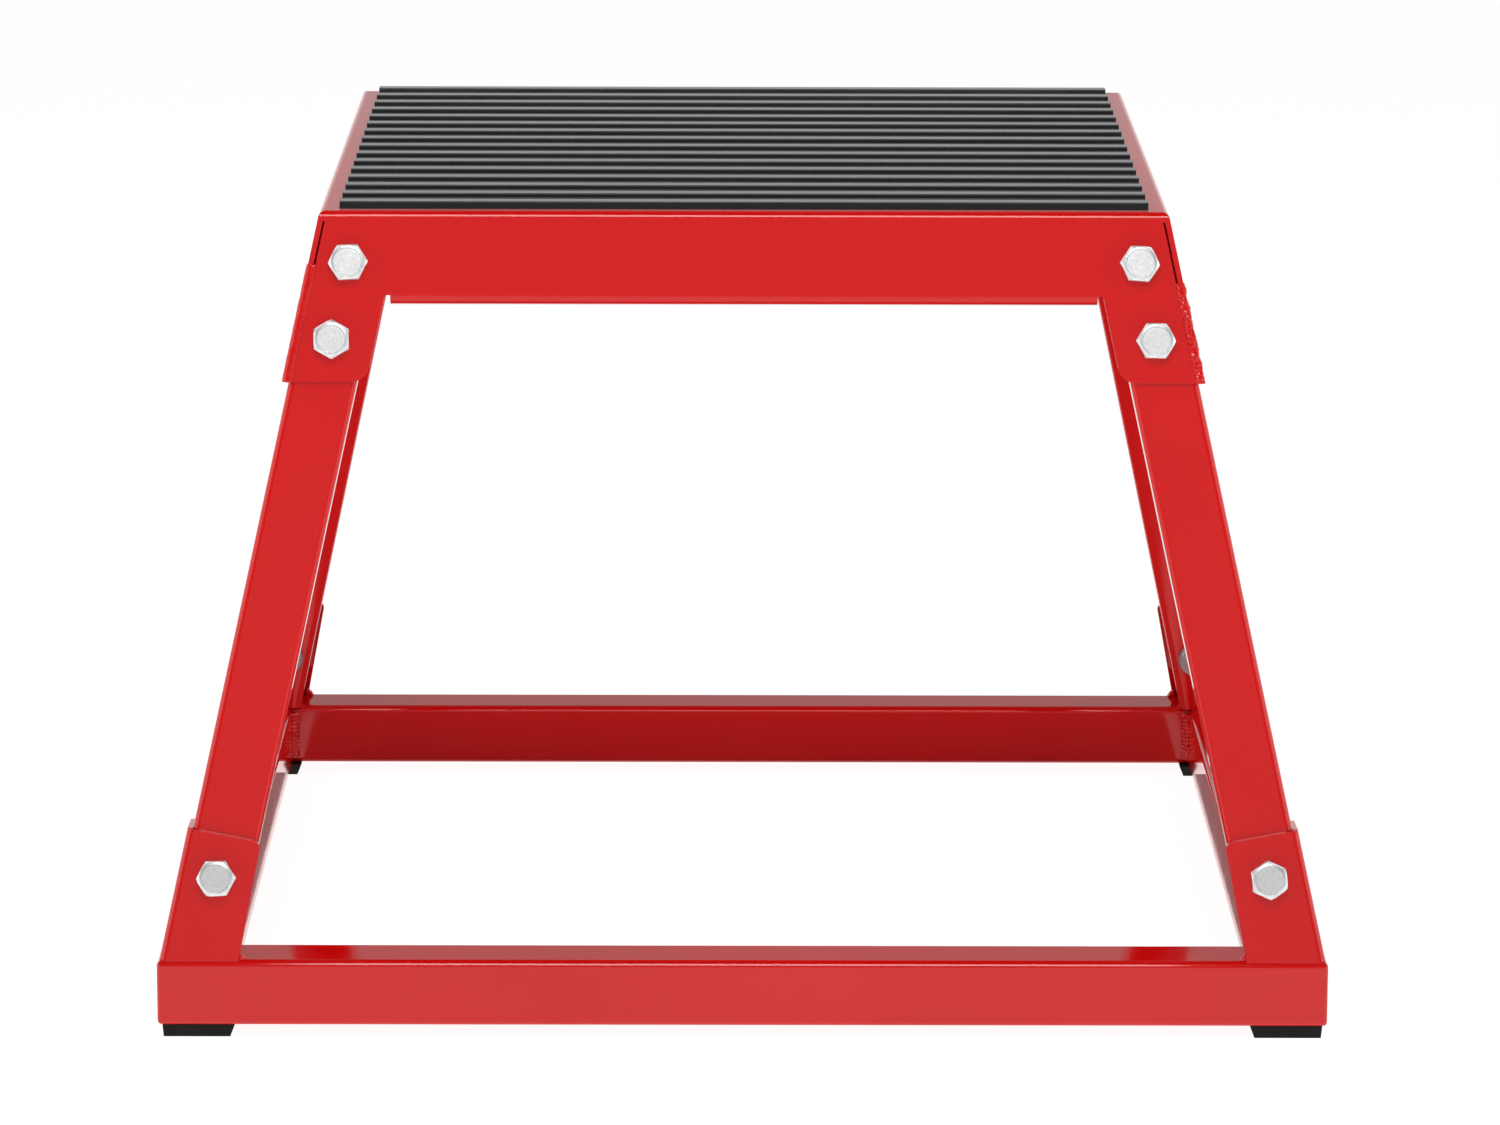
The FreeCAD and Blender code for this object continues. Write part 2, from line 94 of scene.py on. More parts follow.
# Weld beads, in millimetres
BEAD_VOXEL = 0.30
BEAD_SMOOTHING = 5
BEAD_RIPPLE_LENGTH = 1.7
BEAD_RIPPLE_WANDER = 0.35
BEAD_RIPPLE_LEVEL = 0.2
BEAD_DRAWN_OUT = 0.45             # lumps are longer along the bead, which stands upright
BEAD_LOOKS = {                    # swell, ripple and lump of each kind of bead
    "pan_weld": (0.16, 0.05, 0.42),
    "frame_weld": (0.10, 0.14, 0.45),
    "bracket_weld": (0.10, 0.05, 0.25),
}
SMOOTH_BEAD = (0.30, 0.0, 0.10)
SMOOTH_BEAD_NODE = "pan_weld_front_left"

# Powder coat rounds the sheets' sharp edges by this radius, in millimetres
EDGE_SOFTENING = 0.35

# The mat's rib crowns are painted paler, part dust and part painted highlight for their bright
# grazing reflection:
# on what faces up (normal Z) and stands above this level, in metres
CROWN_NORMAL = (0.86, 0.985)
CROWN_LEVEL = (0.3036, 0.3042)

# Brightness of the surround by height above the horizon (sine), behind the object
SKY_LEVELS = ((0.0, 0.90), (0.12, 0.62), (0.156, 0.53), (0.225, 0.40), (0.27, 0.36),
              (0.5, 0.26), (0.8, 0.12), (1.0, 0.10))

# Its other parts: brightness from and to, and the direction component it runs over
FRONT_DIMMING = (1.0, 0.35, 0.25, -0.45)
CAMERA_GLOW = (0.0, 1.0, -0.90, -0.985)
CAMERA_GLOW_LEVEL = 0.45
SIDE_GLOW = (0.0, 0.75, 0.50, 0.72)
SIDE_GLOW_LOW = (1.0, 0.0, 0.15, 0.60)

# Floor and cards, in metres: brightness, the cards' front edges, height and whether they
# also darken what scatters light. The cards are painted shade: dim sheets under the object
# standing in for its shadow on the floor
FLOOR_REACH = 14.0
FLOOR_SCATTER = 0.22
FLOOR_GLOW = 0.93
CARD_GLOW = 0.16
CARD_HALF_WIDTH = 0.19
CARD_BACK = 0.192
CARDS = (("dark_card", -0.192, 0.0004, False), ("rear_card", 0.150, 0.0006, True))

# Lamps: place, width, height and power; the last two kinds stand on both sides
LAMP_TARGET = (0.0, 0.0, 0.17)
KEY = ((0.0, -1.20, 1.15), 0.52, 0.62, 7.6)
GLINT = ((0.0, -1.20, 1.15), 0.52, 0.62, 4.5)
STRIP = ((1.50, -0.60, 0.40), 0.40, 0.9, 1.6)
OVERHEAD = ((0.95, -0.10, 1.55), 1.6, 1.2, 7.0)


def clamp(value, low, high):
    return max(low, min(high, value))


# ---------------------------------------------------------------- materials


class Nodes:
    """A short way to write a node tree."""

    def __init__(self, tree):
        self.tree = tree

    def add(self, kind, **inputs):
        node = self.tree.nodes.new(kind)
        for name, value in inputs.items():
            self.set(node, name.replace("_", " "), value)
        return node

    def split(self, vector):
        """The X, Y and Z outputs of a vector."""
        node = self.tree.nodes.new("ShaderNodeSeparateXYZ")
        self.set(node, 0, vector)
        return node.outputs

    def set(self, node, name, value):
        socket = node.inputs[name]
        if hasattr(value, "is_output"):
            self.tree.links.new(value, socket)
        else:
            socket.default_value = value

    def math(self, operation, first, second=0.0):
        node = self.tree.nodes.new("ShaderNodeMath")
        node.operation = operation
        self.set(node, 0, first)
        self.set(node, 1, second)
        return node.outputs[0]

    def noise(self, place, scale, detail=2.0, rough=0.5):
        node = self.add(
            "ShaderNodeTexNoise", Vector=place, Scale=scale, Detail=detail, Roughness=rough)
        return node.outputs["Fac"]

    def ramp(self, value, low, high, from_low=0.0, from_high=1.0):
        """`low` where the value is `from_low` or less, `high` from `from_high` on."""
        node = self.add("ShaderNodeMapRange", Value=value, From_Min=from_low,
                        From_Max=from_high, To_Min=low, To_Max=high)
        return node.outputs[0]

    def mix(self, factor, first, second):
        node = self.tree.nodes.new("ShaderNodeMix")
        node.data_type = "RGBA"
        self.set(node, 0, factor)
        self.set(node, 6, first)
        self.set(node, 7, second)
        return node.outputs[2]

    def stretch(self, place, scale):
        return self.add("ShaderNodeMapping", Vector=place, Scale=scale).outputs[0]

    def bump(self, height, distance, normal=None):
        node = self.add("ShaderNodeBump", Height=height, Strength=1.0, Distance=distance)
        if normal is not None:
            self.set(node, "Normal", normal)
        return node.outputs[0]


def colour(red, green, blue):
    return red, green, blue, 1.0


def new_material(name):
    """An empty Principled material, its node writer, shader and Object coordinates."""
    material = bpy.data.materials.new(name)
    material.use_nodes = True
    writer = Nodes(material.node_tree)
    shader = writer.tree.nodes["Principled BSDF"]
    place = writer.add("ShaderNodeTexCoord").outputs["Object"]
    return material, writer, shader, place


def powder_coat():
    """Glossy red powder coat: faint orange peel, colour patches, specks, softened edges."""
    material, w, shader, place = new_material("red_powder_coat")
    patches = w.ramp(w.noise(place, 9.0, 3.0), 0.0, 1.0, 0.3, 0.7)
    coat = w.mix(patches, colour(0.600, 0.0020, 0.0022), colour(0.655, 0.0034, 0.0036))
    specks = w.ramp(w.noise(place, 2600.0, 1.0), 0.0, 1.0, 0.70, 0.76)
    coat = w.mix(w.math("MULTIPLY", specks, 0.25), coat, colour(0.42, 0.001, 0.001))
    w.set(shader, "Base Color", coat)
    cloud = w.noise(place, 60.0, 2.0)
    w.set(shader, "Roughness", w.ramp(cloud, 0.05, 0.09, 0.3, 0.7))
    w.set(shader, "IOR", 1.5)
    softened = w.add("ShaderNodeBevel", Radius=EDGE_SOFTENING * MM)
    softened.samples = 4
    peel = w.bump(w.noise(place, 330.0, 2.0), 5.0e-6, softened.outputs[0])
    waves = w.bump(w.noise(place, 45.0, 1.0), 2.2e-5, peel)
    w.set(shader, "Normal", waves)
    return material


def zinc(name, base, roughness, rings):
    """Bright zinc plate; rings are the turned circles on a bolt's head."""
    material, w, shader, place = new_material(name)
    cloud = w.noise(place, 700.0, 3.0, 0.6)
    dark = colour(*(0.82 * channel for channel in base))
    w.set(shader, "Base Color", w.mix(w.ramp(cloud, 0.0, 1.0, 0.35, 0.62), dark, colour(*base)))
    w.set(shader, "Metallic", 1.0)
    w.set(shader, "Roughness", w.ramp(cloud, roughness + 0.06, roughness - 0.05, 0.3, 0.7))
    normal = w.bump(w.noise(place, 2400.0, 3.0, 0.6), 1.2e-5)
    if rings:
        wave = w.add("ShaderNodeTexWave", Vector=place, Scale=330.0, Distortion=1.2,
                     Detail=2.0, Detail_Scale=1.4)
        wave.wave_type = "RINGS"
        wave.rings_direction = "Z"
        normal = w.bump(wave.outputs["Fac"], 1.6e-5, normal)
    w.set(shader, "Normal", normal)
    return material


def mat_rubber():
    """Extruded rubber: smooth black flanks, dull grooves, and rib crowns painted paler, part
    dust and part painted highlight.
    """
    material, w, shader, place = new_material("mat_rubber")
    facing = w.split(w.add("ShaderNodeNewGeometry").outputs["Normal"])
    flat = w.ramp(facing["Z"], 0.0, 1.0, *CROWN_NORMAL)
    raised = w.ramp(w.split(place)["Z"], 0.0, 1.0, *CROWN_LEVEL)
    cloud = w.noise(place, 40.0, 3.0)
    streaks = w.noise(w.stretch(place, (5.0, 700.0, 700.0)), 1.0, 3.0, 0.6)
    black = w.mix(cloud, colour(0.004, 0.004, 0.005), colour(0.009, 0.008, 0.011))
    # Crown colour: part dust, part painted highlight standing in for the crowns' bright
    # reflection
    dust_and_painted_highlight = w.mix(w.ramp(streaks, 0.0, 1.0, 0.3, 0.7),
                  colour(0.110, 0.110, 0.114), colour(0.170, 0.170, 0.176))
    w.set(shader, "Base Color", w.mix(w.math("MULTIPLY", flat, raised), black, dust_and_painted_highlight))
    worn = w.ramp(streaks, 0.11, 0.20, 0.3, 0.7)
    w.set(shader, "Roughness", w.ramp(flat, 0.08, w.ramp(raised, 0.50, worn)))
    w.set(shader, "IOR", 1.42)
    w.set(shader, "Sheen Weight", 0.04)
    w.set(shader, "Sheen Roughness", 0.25)
    normal = w.bump(streaks, 5.0e-6)
    normal = w.bump(w.noise(place, 1500.0, 2.0), 3.0e-6, normal)
    waves = w.noise(w.stretch(place, (14.0, 60.0, 60.0)), 1.0, 1.0)
    w.set(shader, "Normal", w.bump(waves, 9.0e-5, normal))
    return material


def foot_rubber():
    """Dull black rubber with a moulded grain and a dusty bloom."""
    material, w, shader, place = new_material("foot_rubber")
    bloom = w.ramp(w.noise(place, 130.0, 4.0, 0.6), 0.0, 1.0, 0.35, 0.75)
    w.set(shader, "Base Color",
          w.mix(bloom, colour(0.005, 0.0045, 0.0045), colour(0.014, 0.012, 0.012)))
    w.set(shader, "Roughness", w.ramp(bloom, 0.55, 0.72))
    w.set(shader, "Specular IOR Level", 0.16)
    w.set(shader, "Normal", w.bump(w.noise(place, 1300.0, 3.0, 0.6), 6.0e-5))
    return material


# ---------------------------------------------------------------- mesh helpers


def new_object(name, data, material):
    piece = bpy.data.objects.new(name, data)
    bpy.context.scene.collection.objects.link(piece)
    data.materials.clear()
    data.materials.append(material)
    return piece


def mesh_object(name, points, faces, material, sharp=35.0):
    """A smooth-shaded mesh object; edges steeper than `sharp` degrees stay crisp."""
    mesh = bpy.data.meshes.new(name)
    mesh.from_pydata([tuple(MM * value for value in point) for point in points], [], faces)
    mesh.update()
    mesh.shade_smooth()
    mesh.set_sharp_from_angle(angle=math.radians(sharp))
    return new_object(name, mesh, material)


def spun(rings, steps, closed, poles):
    """Points and faces of a body spun about Z.

    Each ring is a function of the angle that gives a radius and a height. A closed body
    joins its last ring to its first; otherwise each end is a fan to a pole at that
    height.
    """
    points, faces = [], []
    for ring in rings:
        for step in range(steps):
            angle = math.tau * step / steps
            radius, height = ring(angle)
            points.append((radius * math.cos(angle), radius * math.sin(angle), height))
    count = len(rings)
    for row in range(count if closed else count - 1):
        low, high = row * steps, (row + 1) % count * steps
        for step in range(steps):
            after = (step + 1) % steps
            faces.append((low + step, high + step, high + after, low + after))
    if not closed:
        first, last = len(points), len(points) + 1
        points += [(0.0, 0.0, poles[0]), (0.0, 0.0, poles[1])]
        end = (count - 1) * steps
        for step in range(steps):
            after = (step + 1) % steps
            faces.append((first, step, after))
            faces.append((last, end + after, end + step))
    return points, faces


def fixed(radius, height):
    return lambda angle: (radius, height)


def hex_radius(angle, edge):
    """Radius of the 13 mm hexagon at this angle, its upright edges rounded to `edge`."""
    part = abs((angle % SIDE) - HALF_SIDE)
    flat = HEX_FLATS / 2.0
    centre = (flat - edge) / math.cos(HALF_SIDE)
    if math.tan(part) * flat <= centre * math.sin(HALF_SIDE):
        return flat / math.cos(part)
    away = HALF_SIDE - part
    return centre * math.cos(away) + math.sqrt(edge ** 2 - (centre * math.sin(away)) ** 2)


def side_ring(edge, height, inset=0.0):
    """A ring on the hexagon's upright side."""
    return lambda angle: (hex_radius(angle, edge) - inset, height)


def head_rim_ring(share, soft=0.0):
    """A ring on the head's convex rim, `share` of the way out from the groove."""

    def ring(angle):
        start = HEAD_GROOVE_RADIUS + HEAD_RIM_START
        width = hex_radius(angle, HEAD_EDGE_RADIUS) - start
        drop = HEAD_RIM_SLOPE * width * share ** HEAD_RIM_POWER
        return start + width * share, HEAD_HEIGHT - HEAD_RIM_DROP - drop - soft

    return ring


def nut_chamfer_ring(face, up, inset, soft):
    """A ring where the nut's chamfer below `face` meets its sides."""

    def ring(angle):
        radius = hex_radius(angle, NUT_EDGE_RADIUS)
        depth = max(0.0, radius - NUT_DISC_RADIUS) * NUT_SLOPE + soft
        return radius - inset, face - up * depth

    return ring


def thread_ring(height, start, tip):
    """A ring through the helical thread, which runs out at `start` and at the tip."""

    def ring(angle):
        phase = (height / THREAD_PITCH - angle / math.tau) % 1.0
        share = THREAD_ROOT - abs(2.0 * phase - 1.0) * THREAD_FLANK
        depth = THREAD_DEPTH * clamp(share, 0.0, 1.0)
        fade = clamp((start - height) / THREAD_PITCH, 0.0, 1.0)
        radius = BOLT_RADIUS - depth * fade
        return min(radius, BOLT_RADIUS - TIP_DEPTH + (height - tip) * TIP_SLOPE), height

    return ring


def bolt_shape(tip):
    """A hexagon bolt, head up, with its bearing face at height 0 and its end at `tip`.

    The head's disc is ringed by a groove and a convex rim that runs out to the hexagon.
    """
    top = HEAD_HEIGHT
    disc = top - HEAD_DISC_DROP
    groove = top - HEAD_GROOVE_DEPTH
    rings = [fixed(radius, disc) for radius in HEAD_DISC_RADII]
    rings += [
        fixed(HEAD_DISC_RADIUS - 0.08, disc), fixed(HEAD_DISC_RADIUS, disc - 0.06),
        fixed(HEAD_GROOVE_RADIUS - 0.14, groove), fixed(HEAD_GROOVE_RADIUS, groove),
        fixed(HEAD_GROOVE_RADIUS + 0.10, top - 0.10),
    ]
    rings += [head_rim_ring(share) for share in HEAD_RIM_SHARES]
    rings += [
        head_rim_ring(1.0, 0.06), head_rim_ring(1.0, 0.22),
        side_ring(HEAD_EDGE_RADIUS, 0.5 * top),
        side_ring(HEAD_EDGE_RADIUS, WASHER_FACE_HEIGHT + 0.12),
        side_ring(HEAD_EDGE_RADIUS, WASHER_FACE_HEIGHT, 0.10),
        fixed(WASHER_FACE_RADIUS, WASHER_FACE_HEIGHT),
        fixed(WASHER_FACE_RADIUS, 0.06), fixed(WASHER_FACE_RADIUS - 0.06, 0.0),
        fixed(BOLT_RADIUS + 0.25, 0.0), fixed(BOLT_RADIUS, -0.25),
    ]
    start = tip + THREAD_LENGTH
    rows = int(THREAD_LENGTH / (THREAD_PITCH / THREAD_ROWS))
    for row in range(rows + 1):
        rings.append(thread_ring(start + (tip - start) * row / rows, start, tip))
    return spun(rings, SPUN_STEPS, False, (disc, tip))


def nut_shape(high):
    """A hexagon nut, `high` thick, chamfered at both faces and the bore."""
    low = 0.0
    bore = BOLT_RADIUS + 0.02
    mouth = bore + NUT_BORE_CHAMFER
    disc = NUT_DISC_RADIUS
    rings = [
        fixed(bore, low + NUT_BORE_DEPTH), fixed(mouth - 0.12, low + 0.02), fixed(mouth, low),
        fixed(disc - 0.08, low), fixed(disc, low + 0.04),
        nut_chamfer_ring(low, -1.0, 0.08, 0.05), nut_chamfer_ring(low, -1.0, 0.0, 0.16),
        side_ring(NUT_EDGE_RADIUS, 0.5 * (low + high)),
        nut_chamfer_ring(high, 1.0, 0.0, 0.16), nut_chamfer_ring(high, 1.0, 0.08, 0.05),
        fixed(disc, high - 0.04), fixed(disc - 0.08, high),
        fixed(mouth, high), fixed(mouth - 0.12, high - 0.02),
        fixed(bore, high - NUT_BORE_DEPTH),
    ]
    return spun(rings[::-1], SPUN_STEPS, True, None)


def washer_shape(high):
    """A punched flat washer, `high` thick: one rounded rim, one sharp."""
    bore, radius = WASHER_BORE, WASHER_RADIUS
    rings = [
        fixed(bore, 0.1), fixed(bore + 0.1, 0.0), fixed(radius - 0.12, 0.0),
        fixed(radius - 0.03, 0.03), fixed(radius, 0.12),
        fixed(radius, high - 0.4), fixed(radius - 0.10, high - 0.12),
        fixed(radius - 0.38, high), fixed(bore + 0.3, high), fixed(bore, high - 0.25),
    ]
    return spun(rings[::-1], SPUN_STEPS, True, None)


def lock_washer_shape(high):
    """A split spring washer, `high` thick: one squared turn with its two ends apart."""
    bore, radius, soft = LOCK_BORE, LOCK_RADIUS, LOCK_SOFT
    section = [
        (bore + soft, 0.0), (radius - soft, 0.0), (radius, soft), (radius, high - soft),
        (radius - soft, high), (bore + soft, high), (bore, high - soft), (bore, soft),
    ]
    half = 0.5 * LOCK_GAP / radius
    size = len(section)
    points, faces = [], []
    for step in range(LOCK_STEPS + 1):
        angle = half + (math.tau - 2.0 * half) * step / LOCK_STEPS
        points += [(r * math.cos(angle), r * math.sin(angle), z) for r, z in section]
    for step in range(LOCK_STEPS):
        here, there = step * size, (step + 1) * size
        for corner in range(size):
            after = (corner + 1) % size
            faces.append((here + corner, there + corner, there + after, here + after))
    faces.append(tuple(range(size)))
    faces.append(tuple(LOCK_STEPS * size + corner for corner in range(size))[::-1])
    return points, faces


# ---------------------------------------------------------------- reading the frame


def solids_of(node):
    """The separate solids of a CAD node, as lists of points, highest first."""
    work = bmesh.new()
    work.from_mesh(node.data)
    bmesh.ops.remove_doubles(work, verts=work.verts, dist=MERGE_DISTANCE)
    seen, groups = set(), []
    for vert in work.verts:
        if vert.index in seen:
            continue
        stack, group = [vert], []
        seen.add(vert.index)
        while stack:
            current = stack.pop()
            group.append(current.co.copy())
            for edge in current.link_edges:
                other = edge.other_vert(current)
                if other.index not in seen:
                    seen.add(other.index)
                    stack.append(other)
        groups.append(group)
    work.free()
    return sorted(groups, key=lambda group: -sum(p.z for p in group) / len(group))


def lean_angle():
    """How far every skin leans in, from the foot of a bracket and the top of the pan."""
    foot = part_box("bracket_rear_right")
    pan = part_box("top_pan")
    return math.atan((foot[1].x - pan[1].x) / (pan[0].z - foot[0].z))


def bolt_axes(corner, lean):
    """Axis directions of a corner's bolts: outward along the axis, and two across it."""
    side = -1.0 if corner.startswith("front") else 1.0
    along = Vector((0.0, side * math.cos(lean), math.sin(lean)))
    across = Vector((1.0, 0.0, 0.0))
    return along, across, along.cross(across)


def extent(points, direction):
    reach = [point.dot(direction) for point in points]
    return min(reach), max(reach)


def hardware_frame(points, axes):
    """Origin on the axis, at the solid's middle, and its reach along the axis."""
    along, across, other = axes
    low, high = extent(points, along)
    middle = [0.5 * sum(extent(points, direction)) for direction in (across, other)]
    return across * middle[0] + other * middle[1], low, high


def hex_turn(points, axes, origin):
    """How far the hexagon is turned about its axis, from the six-fold sum of its corners."""
    along, across, other = axes
    reach = HEX_CORNER_SHARE * HEX_FLATS / 2.0 * MM
    far = [p - origin for p in points if (p - origin).cross(along).length > reach]
    angles = [math.atan2(p.dot(other), p.dot(across)) for p in far]
    return cmath.phase(sum(cmath.exp(6j * angle) for angle in angles)) / 6.0


def place_on_axis(piece, axes, origin, height, turn):
    """Local +Z along the bolt's axis, local X turned by `turn` from the level."""
    along, across, other = axes
    x_axis = across * math.cos(turn) + other * math.sin(turn)
    y_axis = along.cross(x_axis)
    matrix = Matrix((x_axis, y_axis, along)).transposed().to_4x4()
    matrix.translation = origin + along * height
    piece.matrix_world = matrix


# ---------------------------------------------------------------- the pieces


def hardware(corner, nodes, looks, lean):
    """Bolts, nuts and both kinds of washer at one corner, each on its own CAD axis."""
    axes = bolt_axes(corner, lean)
    bolts = solids_of(nodes[f"bolts_{corner}"])
    for points, place in zip(bolts, BOLT_PLACES):
        origin, low, high = hardware_frame(points, axes)
        seat = high - HEAD_HEIGHT * MM
        turn = hex_turn(points, axes, origin)
        shape = bolt_shape((low - seat) / MM)
        piece = mesh_object(f"bolt_{place}_{corner}", *shape, looks["head"])
        finish_piece(piece, axes, origin, seat, turn, f"bolts_{corner}")
    for kind, name in PIECE_NAMES.items():
        for points, place in zip(solids_of(nodes[f"{kind}_{corner}"]), BOLT_PLACES):
            origin, low, high = hardware_frame(points, axes)
            height = (high - low) / MM
            turn = 0.0
            if kind == "nuts":
                shape = nut_shape(height)
                turn = hex_turn(points, axes, origin)
            elif kind == "washers":
                shape = washer_shape(height)
            else:
                shape = lock_washer_shape(height)
                turn = LOCK_TURN * (1 + BOLT_PLACES.index(place))
            piece = mesh_object(f"{name}_{place}_{corner}", *shape, looks[name])
            finish_piece(piece, axes, origin, low, turn, f"{kind}_{corner}")


def finish_piece(piece, axes, origin, height, turn, node):
    place_on_axis(piece, axes, origin, height, turn)
    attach(piece, "root")
    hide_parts(node)


def rounded_copy(name, node):
    """The CAD solid's mesh with its edges rounded by a voxel remesh and smoothing."""
    work = bmesh.new()
    work.from_mesh(node.data)
    bmesh.ops.remove_doubles(work, verts=work.verts, dist=MERGE_DISTANCE)
    rough = bpy.data.meshes.new(name)
    work.to_mesh(rough)
    work.free()
    rounder = bpy.data.objects.new(name + "_rounder", rough)
    bpy.context.scene.collection.objects.link(rounder)
    remesh = rounder.modifiers.new("remesh", "REMESH")
    remesh.mode = "VOXEL"
    remesh.voxel_size = BEAD_VOXEL * MM
    smooth = rounder.modifiers.new("smooth", "SMOOTH")
    smooth.iterations = BEAD_SMOOTHING
    graph = bpy.context.evaluated_depsgraph_get()
    mesh = bpy.data.meshes.new_from_object(rounder.evaluated_get(graph))
    bpy.data.objects.remove(rounder)
    mesh.name = name
    return mesh


def weld_bead(name, node, material, swell, ripple, lump):
    """A weld bead: the CAD wedge rounded, then swollen and rippled by these millimetres."""
    mesh = rounded_copy(name, node)
    moves = []
    for vert in mesh.vertices:
        place = vert.co / MM
        wander = BEAD_RIPPLE_WANDER * noise.noise(place * 0.8)
        wave = math.sin(math.tau * (place.z + wander) / BEAD_RIPPLE_LENGTH)
        drawn = Vector((place.x, place.y, BEAD_DRAWN_OUT * place.z))
        lumps = noise.noise(drawn * 0.62) + 0.5 * noise.noise(drawn * 1.5)
        move = swell + ripple * (wave - BEAD_RIPPLE_LEVEL) + lump * lumps
        moves.append(vert.normal * (move * MM))
    for vert, move in zip(mesh.vertices, moves):
        vert.co += move
    mesh.shade_smooth()
    piece = new_object(f"{name}_bead", mesh, material)
    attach(piece, "root")
    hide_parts(name)


# ---------------------------------------------------------------- the studio


def area_light(name, place, width, height, power):
    light = bpy.data.lights.new(name, "AREA")
    light.shape = "RECTANGLE"
    light.size = width
    light.size_y = height
    light.energy = power
    holder = bpy.data.objects.new(name, light)
    bpy.context.scene.collection.objects.link(holder)
    holder.location = place
    facing = Vector(LAMP_TARGET) - Vector(place)
    holder.rotation_euler = facing.to_track_quat("-Z", "Y").to_euler()
    holder.visible_camera = False
    return holder


def floor_paper():
    """Bright pale paper: it glows evenly and keeps a faint shadow where things touch it."""
    material = bpy.data.materials.new("floor_paper")
    material.use_nodes = True
    tree = material.node_tree
    tree.nodes.clear()
    w = Nodes(tree)
    diffuse = w.add("ShaderNodeBsdfDiffuse", Color=colour(*[FLOOR_SCATTER] * 3))
    glow = w.add("ShaderNodeEmission", Color=colour(1.0, 1.0, 1.0), Strength=FLOOR_GLOW)
    both = w.add("ShaderNodeAddShader")
    w.set(both, 0, diffuse.outputs[0])
    w.set(both, 1, glow.outputs[0])
    w.add("ShaderNodeOutputMaterial", Surface=both.outputs[0])
    return material


def painted_shade_card():
    """Painted shade: a dim even glow for the cards under the object that stand in for its
    shadow on the floor; only reflections and scattered light see them.
    """
    material = bpy.data.materials.new("dark_card")
    material.use_nodes = True
    w = Nodes(material.node_tree)
    glow = w.add("ShaderNodeEmission", Color=colour(1.0, 1.0, 1.0), Strength=CARD_GLOW)
    w.set(w.tree.nodes["Material Output"], "Surface", glow.outputs[0])
    return material


def surround():
    """A soft surround: pale near the horizon, dark overhead, dim behind the camera."""
    world = bpy.data.worlds.new("surround")
    bpy.context.scene.world = world
    world.use_nodes = True
    w = Nodes(world.node_tree)
    x, y, z = w.split(w.add("ShaderNodeTexCoord").outputs["Generated"])
    sky = w.add("ShaderNodeValToRGB", Fac=z)
    elements = sky.color_ramp.elements
    while len(elements) < len(SKY_LEVELS):
        elements.new(0.5)
    for element, (height, level) in zip(elements, SKY_LEVELS):
        element.position = height
        element.color = colour(level, level, level)
    front = w.ramp(y, *FRONT_DIMMING)
    glow = w.math("MULTIPLY", w.ramp(y, *CAMERA_GLOW), CAMERA_GLOW_LEVEL)
    level = w.math("ADD", w.math("MULTIPLY", sky.outputs[0], front), glow)
    aside = w.ramp(w.math("ABSOLUTE", x), *SIDE_GLOW)
    low = w.ramp(z, *SIDE_GLOW_LOW)
    level = w.math("ADD", level, w.math("MULTIPLY", aside, low))
    w.set(w.tree.nodes["Background"], "Color", level)


def plane(name, x0, x1, y0, y1, z, material):
    mesh = bpy.data.meshes.new(name)
    mesh.from_pydata([(x0, y0, z), (x1, y0, z), (x1, y1, z), (x0, y1, z)], [], [(0, 1, 2, 3)])
    return new_object(name, mesh, material)


def studio():
    """The floor, two unseen dark cards of painted shade, a front softbox, two side strips, two
    overheads.
    """
    reach = FLOOR_REACH
    plane("floor", -reach, reach, -reach, reach, 0.0, floor_paper())
    card_shade = painted_shade_card()
    # Painted shade: the cards stand in for the object's shadow on the floor, seen only by
    # reflections and scattered light
    for name, front, height, diffuse in CARDS:
        card = plane(name, -CARD_HALF_WIDTH, CARD_HALF_WIDTH, front, CARD_BACK, height, card_shade)
        card.visible_camera = False
        card.visible_shadow = False
        card.visible_diffuse = diffuse
    surround()
    area_light("key", *KEY)
    area_light("glint", *GLINT).visible_diffuse = False
    for side, name in ((-1.0, "left"), (1.0, "right")):
        for kind, ((x, y, z), *size_and_power) in (("strip", STRIP), ("overhead", OVERHEAD)):
            area_light(f"{name}_{kind}", (side * x, y, z), *size_and_power)


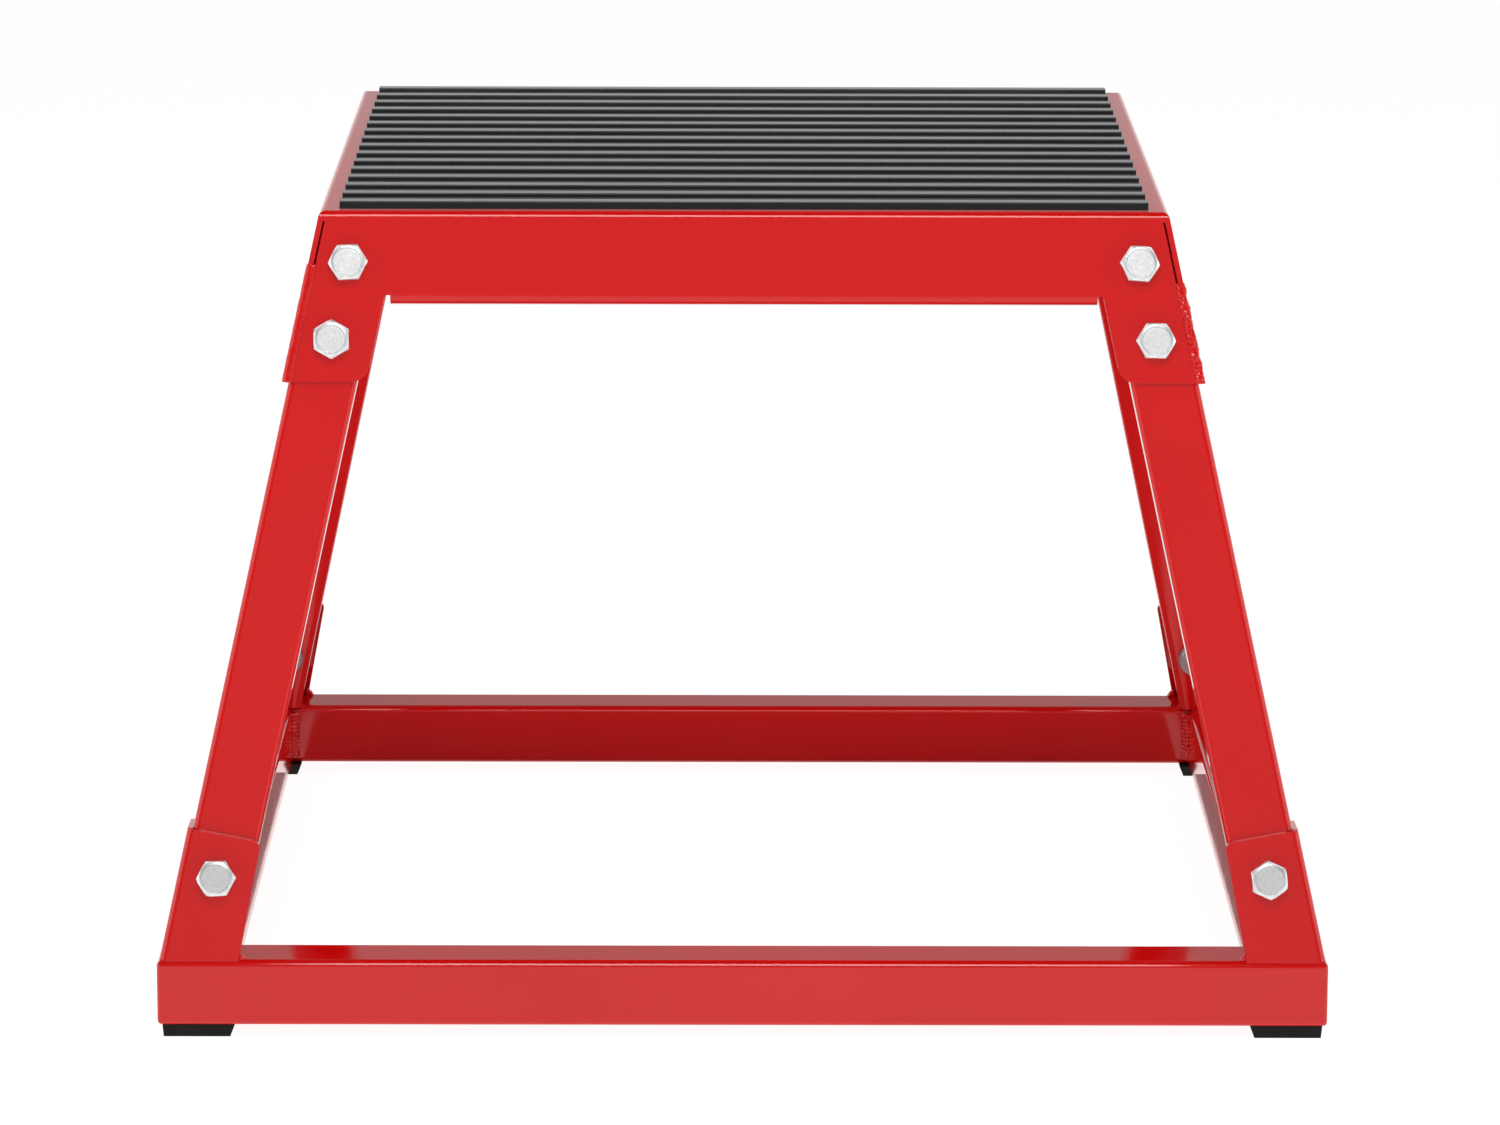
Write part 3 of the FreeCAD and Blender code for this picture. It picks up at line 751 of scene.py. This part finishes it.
def camera():
    """The photograph's camera, from its pitch, yaw and roll."""
    pitch, yaw, roll = CAMERA_PITCH, CAMERA_YAW, CAMERA_ROLL
    level = math.cos(pitch)
    forward = Vector((math.sin(yaw) * level, math.cos(yaw) * level, math.sin(pitch)))
    right = Vector((math.cos(yaw), -math.sin(yaw), 0.0))
    up = right.cross(forward)
    side = right * math.cos(roll) + up * math.sin(roll)
    top = up * math.cos(roll) - right * math.sin(roll)
    data = bpy.data.cameras.new("camera")
    data.sensor_width = SENSOR_WIDTH
    data.lens = CAMERA_LENS
    data.clip_end = CLIP_END
    holder = bpy.data.objects.new("camera", data)
    bpy.context.scene.collection.objects.link(holder)
    matrix = Matrix((side, top, -forward)).transposed().to_4x4()
    matrix.translation = Vector(CAMERA_PLACE)
    holder.matrix_world = matrix
    bpy.context.scene.camera = holder


# ---------------------------------------------------------------- putting it together

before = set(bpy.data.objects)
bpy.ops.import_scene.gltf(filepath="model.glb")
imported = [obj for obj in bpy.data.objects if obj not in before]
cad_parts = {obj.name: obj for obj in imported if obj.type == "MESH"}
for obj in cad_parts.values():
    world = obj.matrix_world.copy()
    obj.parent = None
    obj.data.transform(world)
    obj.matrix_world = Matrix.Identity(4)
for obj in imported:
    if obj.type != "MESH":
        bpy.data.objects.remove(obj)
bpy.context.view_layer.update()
camera()
studio()
bpy.context.scene.view_settings.view_transform = "Standard"

red = powder_coat()
looks = {
    "head": zinc("zinc_head", (0.83, 0.835, 0.84), 0.37, True),
    "nut": zinc("zinc_nut", (0.80, 0.81, 0.82), 0.30, False),
    "washer": zinc("zinc_washer", (0.74, 0.75, 0.77), 0.30, False),
    "lock_washer": zinc("zinc_lock_washer", (0.66, 0.67, 0.69), 0.34, False),
}
rubber = mat_rubber()
feet = foot_rubber()

for name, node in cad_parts.items():
    if name == "top_mat":
        look = rubber
    elif name.startswith("foot_"):
        look = feet
    else:
        look = red
    node.data.materials.clear()
    node.data.materials.append(look)
    for kind, bead_look in BEAD_LOOKS.items():
        if name.startswith(kind):
            shape = SMOOTH_BEAD if name == SMOOTH_BEAD_NODE else bead_look
            weld_bead(name, node, red, *shape)

lean = lean_angle()
for corner in CORNERS:
    hardware(corner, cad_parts, looks, lean)
